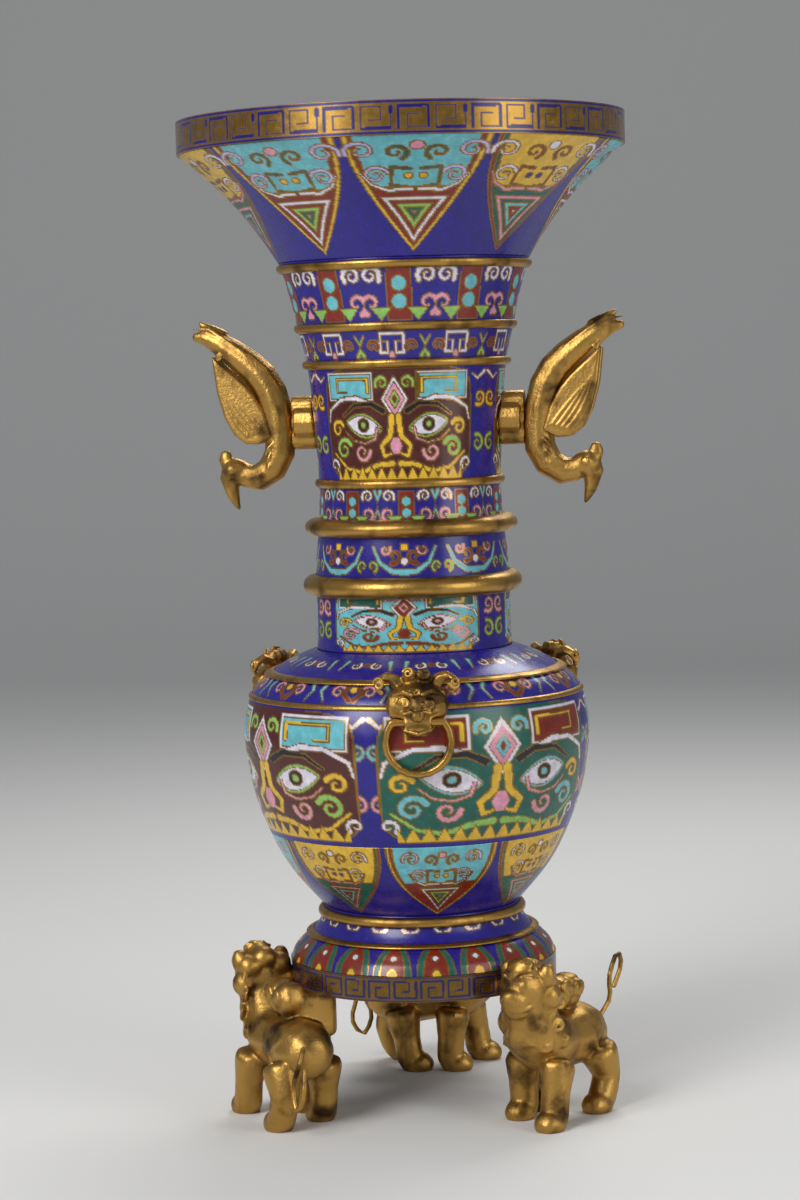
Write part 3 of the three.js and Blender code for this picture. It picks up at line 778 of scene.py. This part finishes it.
# %% Castings
def closed_skin(name, points, faces, voxel, rounds, swell=0.0):
    """One closed skin over all the closed shapes given, swollen outwards and then evened out."""
    mesh = bpy.data.meshes.new(name)
    mesh.from_pydata((points * MM).tolist(), [], faces)
    holder = bpy.data.objects.new(name, mesh)
    bpy.context.scene.collection.objects.link(holder)
    remesh = holder.modifiers.new("one_skin", "REMESH")
    remesh.mode = "VOXEL"
    remesh.voxel_size = voxel * MM
    grow = holder.modifiers.new("swell", "DISPLACE")
    grow.mid_level = 0.0
    grow.strength = swell * MM
    even = holder.modifiers.new("even", "SMOOTH")
    even.factor = 0.5
    even.iterations = rounds
    settled = bpy.data.meshes.new_from_object(holder.evaluated_get(bpy.context.evaluated_depsgraph_get()))
    found = np.empty(len(settled.vertices) * 3)
    settled.vertices.foreach_get("co", found)
    corners = np.empty(len(settled.loops), np.int32)
    settled.loops.foreach_get("vertex_index", corners)
    bpy.data.objects.remove(holder)
    return found.reshape(-1, 3) / MM, corners.reshape(-1, 4)


def joined(shapes):
    """All the shapes' points in one list, and their faces renumbered to it."""
    points, face_list, count = [], [], 0
    for shape_points, shape_faces in shapes:
        points.append(shape_points)
        face_list += [[int(v) + count for v in face] for face in shape_faces]
        count += len(shape_points)
    return np.concatenate(points), face_list


def node_shape(node):
    """The model's own form of a node, with the corners that lie on one point made one."""
    mesh = bpy.data.objects[node].data
    corner = np.empty(len(mesh.vertices) * 3)
    mesh.vertices.foreach_get("co", corner)
    points, index = np.unique(np.round(corner.reshape(-1, 3) / MM, 3), axis=0, return_inverse=True)
    index = index.ravel()
    face_list = [[index[v] for v in polygon.vertices] for polygon in mesh.polygons]
    return points, [face for face in face_list if len(set(face)) == len(face)]


def casting(name, nodes, cords=(), voxel=1.1, soft=10, sharp=2, swell=0.5,
            material=fire_gilt_casting, body="root"):
    """The nodes' forms as one skin with soft rounds of evening; the cords get only the sharp rounds."""
    points, quads = closed_skin(name, *joined([node_shape(node) for node in nodes]), voxel, soft, swell)
    if cords:
        points, quads = closed_skin(name, *joined([(points, quads), *cords]), voxel, sharp)
    points[:, 2] = np.maximum(points[:, 2], 0)
    mesh_piece(name, points, quads, material, body=body, nodes=nodes)


print("corners of the right lion's node:", len(node_shape("lion_right")[0]))

# %% [markdown]
# What sits on the vase's side is drawn in its own frame, x outwards, y along the wall and z up, and is
# then turned to its azimuth. A lion walks along the wall, so its x and y change places first.

# %% Places round the vase
UP = np.array([0, 0, 1.0])
LION_CENTRE = 124.0


def on_the_side(shapes, azimuth):
    """Each point is x times the outward direction, plus y times the one along the wall, plus z."""
    a = math.radians(azimuth)
    out, along = np.array([math.sin(a), -math.cos(a), 0]), np.array([math.cos(a), math.sin(a), 0])
    return [(points[:, :1] * out + points[:, 1:2] * along + points[:, 2:] * UP, face_list)
            for points, face_list in shapes]


def walking(shapes, azimuth):
    """The lion's own y becomes the way out from the axis, and its x the way back along the wall."""
    swapped = [(np.stack([points[:, 1] + LION_CENTRE, -points[:, 0], points[:, 2]], 1), face_list)
               for points, face_list in shapes]
    return on_the_side(swapped, azimuth)


print("outward at 90 degrees is", on_the_side([(np.array([[1.0, 0, 0]]), [])], 90)[0][0][0].round(3))

# %% [markdown]
# Each lion has a curled mane and chest, ringed eyes, a brow and a lip, a flame on the flank and two
# swirls on the saddle that carries the foot. Head, legs and saddle are one casting; the tail is a wire.

# %% Lions
LION_AZIMUTHS = {"right": 54.4, "left": -65.6, "back": 174.4}
HEAD_MIDDLE = 4
MANE = [(44, 15, 88, 7), (36, 21, 96, 7), (31, 20, 111, 7), (46, 12, 74, 6.5),
        (30, 24, 82, 7), (38, 19, 68, 6.5), (24, 22, 98, 6.5), (22, 25, 70, 6)]
LEGS = ("fore_outer", "fore_inner", "hind_outer", "hind_inner")


def lion_hair():
    """The lion's cords in its own frame: x is the way it walks, y outwards."""
    made = []
    for side in (-1, 1):
        for row, (x, y, z, size) in enumerate(MANE):
            made.append(lock((x, side * y, z), (0.6, side, 0.15), size, hand=side if row % 2 else -side))
        made.append(lock((59, HEAD_MIDDLE + side * 8.5, 117), (1, side * 0.5, 0.3), 5, 1.0, side, 0.2))
        brow = [(61, 3, 121), (60, 8, 125), (54, 14, 124)]
        made.append(cord([(x, HEAD_MIDDLE + side * y, z) for x, y, z in brow], [2.2, 2.8, 1.6]))
        lip = [(68, 0, 101), (66, 6, 99), (58, 12, 100), (50, 15, 104)]
        made.append(cord([(x, HEAD_MIDDLE + side * y, z) for x, y, z in lip], [1.8, 2.0, 1.8, 1.2]))
        flame = [(-46, 14, 78), (-36, 22, 70), (-26, 24, 60), (-30, 25, 48)]
        made.append(cord([(x, side * y, z) for x, y, z in flame], [1.5, 2.6, 2.6, 1.2]))
    made.append(lock((50, HEAD_MIDDLE - 6, 133), (0.7, -0.5, 0.9), 6, hand=1))
    made.append(lock((50, HEAD_MIDDLE + 6, 133), (0.7, 0.5, 0.9), 6, hand=-1))
    made.append(lock((70, HEAD_MIDDLE, 109), (1, 0, 0.2), 3.5, 0.9, 1, 0.35))
    made.append(lock((-18, 14, 104), (0, 1, 0.1), 7, 1.6, 1))
    made.append(lock((-2, 14, 104), (0, 1, 0.1), 7, 1.6, -1))
    return made


for side_name, azimuth in LION_AZIMUTHS.items():
    lion = f"lion_{side_name}"
    casting(f"{lion}_casting", [lion, *(f"{lion}_{leg}_leg" for leg in LEGS), f"{lion}_saddle"],
            walking(lion_hair(), azimuth), voxel=1.45, soft=17, swell=3.2)
    casting(f"{lion}_wire_tail", [f"{lion}_tail"], voxel=0.8, soft=2, swell=0.0)

# %% [markdown]
# The phoenix handles carry feathers: ridges that run along the tail and breast, a ringed eye and small
# scales at the throat. The ridges of a wing are curved lines with one bend each.

# %% Handles
HANDLE_AZIMUTHS = {"right": 80.0, "left": -100.0}
TAIL_SPINE = np.array([(174, 631), (160, 631), (146, 622), (131, 611), (117, 594), (108, 572), (106, 552)])
TAIL_HALF_WIDTH = np.array([2, 5, 7.5, 9, 10.5, 11.5, 11])
WING_SIDE = 12.0


def feather_ridges():
    """Three ridges a side along the tail's spine, 5 mm apart, and a ring, a scroll and scales."""
    made = []
    for side in (-1, 1):
        for lift in (-5, 0, 5):
            path = np.stack([TAIL_SPINE[:, 0] + lift * 0.5, side * TAIL_HALF_WIDTH,
                             TAIL_SPINE[:, 1] + lift], 1)
            made.append(cord(path, [0.8, 1.4, 1.7, 1.8, 1.8, 1.6, 0.8]))
        made.append(lock((146, side * 10.5, 521), (0.1, side, 0.1), 4.2, 1.0, side, 0.22))
        made.append(lock((154, side * 8, 613), (0.1, side, 0.1), 4.5, 1.2, side, 0.28))
        for drop in (0, 8, 16):
            scale = [(108 + drop * 0.4, side * 11, 545 - drop), (114, side * 12, 538 - drop),
                     (118, side * 9, 533 - drop)]
            made.append(cord(scale, [0.8, 1.5, 0.8]))
    return made


def wing_ridges(side):
    """Each ridge is (1 - t)^2 start + 2 t (1 - t) bend + t^2 end, with t from 0 to 1."""
    made = []
    t = np.linspace(0, 1, 9)[:, None]
    for share in (0.15, 0.4, 0.65, 0.9):
        start = np.array([116 + 16 * share, side * WING_SIDE, 552 - 4 * share])
        bend = np.array([128 + 22 * share, side * WING_SIDE, 572 - 10 * share])
        end = np.array([150 + 6 * share, side * WING_SIDE, 585 + 20 * share])
        path = (1 - t) ** 2 * start + 2 * t * (1 - t) * bend + t ** 2 * end
        made.append(cord(path, np.linspace(1.5, 0.7, 9)))
    return made


for side_name, azimuth in HANDLE_AZIMUTHS.items():
    casting(f"phoenix_{side_name}_casting", [f"phoenix_{side_name}"],
            on_the_side(feather_ridges(), azimuth), voxel=1.05, soft=14, swell=1.2)
    for wing, hand in ((f"wing_front_{side_name}", -1), (f"wing_back_{side_name}", 1)):
        casting(f"{wing}_casting", [wing], on_the_side(wing_ridges(hand), azimuth), voxel=0.8, soft=4)
    casting(f"handle_boss_{side_name}_casting", [f"handle_boss_{side_name}"], voxel=0.9, soft=5)

# %% [markdown]
# The masks are beast heads with ringed eyes, curled horns and a lipped jaw; the rings hang from them on
# a pin. A ring is a rod bent round, so the same skin, finer, rounds it.

# %% Masks and rings
MASK_AZIMUTHS = {"front": 0.0, "right": 120.0, "left": -120.0}


def mask_lines():
    """The mask's cords: for each side an eye ring, a horn curl, a brow, a cheek and a forehead lock."""
    made = []
    for side in (-1, 1):
        made.append(lock((149, side * 9.5, 343.5), (1, side * 0.2, 0.2), 5.5, 1.0, side, 0.18))
        made.append(lock((138, side * 29, 358), (1, side * 0.6, 0.2), 5.5, 1.5, side, 0.28))
        brow = [(151, side * 3, 350), (149, side * 10, 353), (142, side * 19, 350)]
        made.append(cord(brow, [1.6, 2.2, 1.2]))
        cheek = [(153, side * 4, 338), (150, side * 10, 336), (144, side * 17, 338)]
        made.append(cord(cheek, [1.4, 1.6, 1.0]))
        made.append(lock((139, side * 6, 366), (1, side * 0.3, 0.6), 5, 1.5, side, 0.3))
    made.append(lock((148, 0, 353), (1, 0, 0.3), 3.6, 1.0, 1, 0.3))
    made.append(cord([(147, -11, 323), (150, 0, 320), (147, 11, 323)], [1.2, 1.6, 1.2]))
    return made


for side_name, azimuth in MASK_AZIMUTHS.items():
    casting(f"mask_{side_name}_casting", [f"mask_{side_name}"], on_the_side(mask_lines(), azimuth),
            voxel=0.8, soft=3, sharp=1, swell=0.0)
    casting(f"ring_{side_name}_rod", [f"ring_{side_name}"], voxel=0.8, soft=5, swell=0.0,
            material=fire_gilt_band, body=f"ring_{side_name}")

# %% [markdown]
# The nuts inside and the disc that closes the foot stay as modelled; they only need their bronze.

# %% Plain pieces
PLAIN = ["base_disc", "handle_nut_right", "handle_nut_left", "mask_nut_front", "mask_nut_right",
         "mask_nut_left"]
for plain_name in PLAIN:
    materials = bpy.data.objects[plain_name].data.materials
    materials.clear()
    materials.append(raw_bronze)
print("plain pieces:", len(PLAIN))

# %% [markdown]
# The camera stands 2.47 m in front at the height of the neck, looks a little down and is turned a
# little about its own line of sight, as the photograph is. In an upright picture the sensor's 36 mm are
# the picture's height.

# %% Camera
EYE = (-0.0109, -2.472, 0.604)
PITCH = math.radians(4.44)
ROLL = math.radians(-1.65)
LENS = 91.5
camera_data = bpy.data.cameras.new("camera")
camera_data.lens = LENS
camera_data.sensor_width = 36.0
camera_data.clip_end = 50.0
camera = bpy.data.objects.new("camera", camera_data)
camera.matrix_world = (Matrix.Translation(EYE) @ Matrix.Rotation(math.pi / 2 - PITCH, 4, "X")
                       @ Matrix.Rotation(ROLL, 4, "Z"))
bpy.context.scene.collection.objects.link(camera)
bpy.context.scene.camera = camera
print("camera at", EYE)

# %% [markdown]
# The floor bends up into a backdrop in one pale paper sweep, so the camera sees no line. Points of
# its side line are a flat, a quarter circle and an upright; it is that line carried sideways.

# %% Paper sweep
SWEEP_FRONT, SWEEP_DEPTH, SWEEP_HALF_WIDTH, SWEEP_HEIGHT, SWEEP_BEND = -4.0, 5.5, 8.0, 6.0, 2.0
BEND_ANGLES = np.linspace(0.1, math.pi / 2, 14)
bend_start = SWEEP_DEPTH - SWEEP_BEND
side_line = [(SWEEP_FRONT, 0.0), (bend_start, 0.0)]
side_line += [(bend_start + SWEEP_BEND * math.sin(q), SWEEP_BEND - SWEEP_BEND * math.cos(q))
              for q in BEND_ANGLES]
side_line += [(SWEEP_DEPTH, SWEEP_HEIGHT)]
sweep_points = [(x, y, z) for y, z in side_line for x in (-SWEEP_HALF_WIDTH, SWEEP_HALF_WIDTH)]
sweep_faces = [(2 * i, 2 * i + 1, 2 * i + 3, 2 * i + 2) for i in range(len(side_line) - 1)]
sweep_mesh = bpy.data.meshes.new("studio_sweep")
sweep_mesh.from_pydata(sweep_points, [], sweep_faces)
sweep_mesh.polygons.foreach_set("use_smooth", np.ones(len(sweep_faces), bool))
paper, paper_tree = new_material("pale_paper")
clouds = add(paper_tree, "ShaderNodeTexNoise", {"Scale": 4.0})
paper_tint = add(paper_tree, "ShaderNodeMix", {
    "Factor": clouds.outputs["Fac"], COLOUR_A: rgba("#D9D8D5"), COLOUR_B: rgba("#DEDDDA")}, data_type="RGBA")
paper_skin = add(paper_tree, "ShaderNodeBsdfPrincipled",
                 {"Base Color": paper_tint.outputs[COLOUR_OUT], "Roughness": 0.9})
add(paper_tree, "ShaderNodeOutputMaterial", {"Surface": paper_skin.outputs["BSDF"]})
sweep_mesh.materials.append(paper)
sweep = bpy.data.objects.new("studio_sweep", sweep_mesh)
bpy.context.scene.collection.objects.link(sweep)
print("sweep faces:", len(sweep_faces))

# %% [markdown]
# Three broad lamps and a soft grey sky light the vase at a plain level. Metal needs large soft lights to
# reflect, and glass shows them as soft bars.

# %% Lamps and sky
def lamp(name, place, target, size, watts):
    """A rectangular lamp at the place whose face looks at the target."""
    data = bpy.data.lights.new(name, "AREA")
    data.shape = "RECTANGLE"
    data.size, data.size_y = size
    data.energy = watts
    holder = bpy.data.objects.new(name, data)
    back = Vector(place) - Vector(target)
    holder.matrix_world = Matrix.Translation(place) @ back.to_track_quat("Z", "Y").to_matrix().to_4x4()
    bpy.context.scene.collection.objects.link(holder)


lamp("key_lamp", (-1.3, -1.6, 1.7), (0, 0, 0.45), (1.0, 1.4), 42)
lamp("fill_lamp", (1.7, -1.3, 1.0), (0, 0, 0.4), (1.0, 1.6), 14)
lamp("rim_lamp", (0.6, 1.4, 1.9), (0, 0, 0.5), (1.4, 0.8), 22)
sky = bpy.data.worlds.new("studio_air")
sky.use_nodes = True
sky.node_tree.nodes["Background"].inputs["Color"].default_value = rgba("#C9CCD2")
sky.node_tree.nodes["Background"].inputs["Strength"].default_value = 0.45
bpy.context.scene.world = sky
bpy.context.scene.view_settings.view_transform = "Standard"
print("lamps:", len(bpy.data.lights))
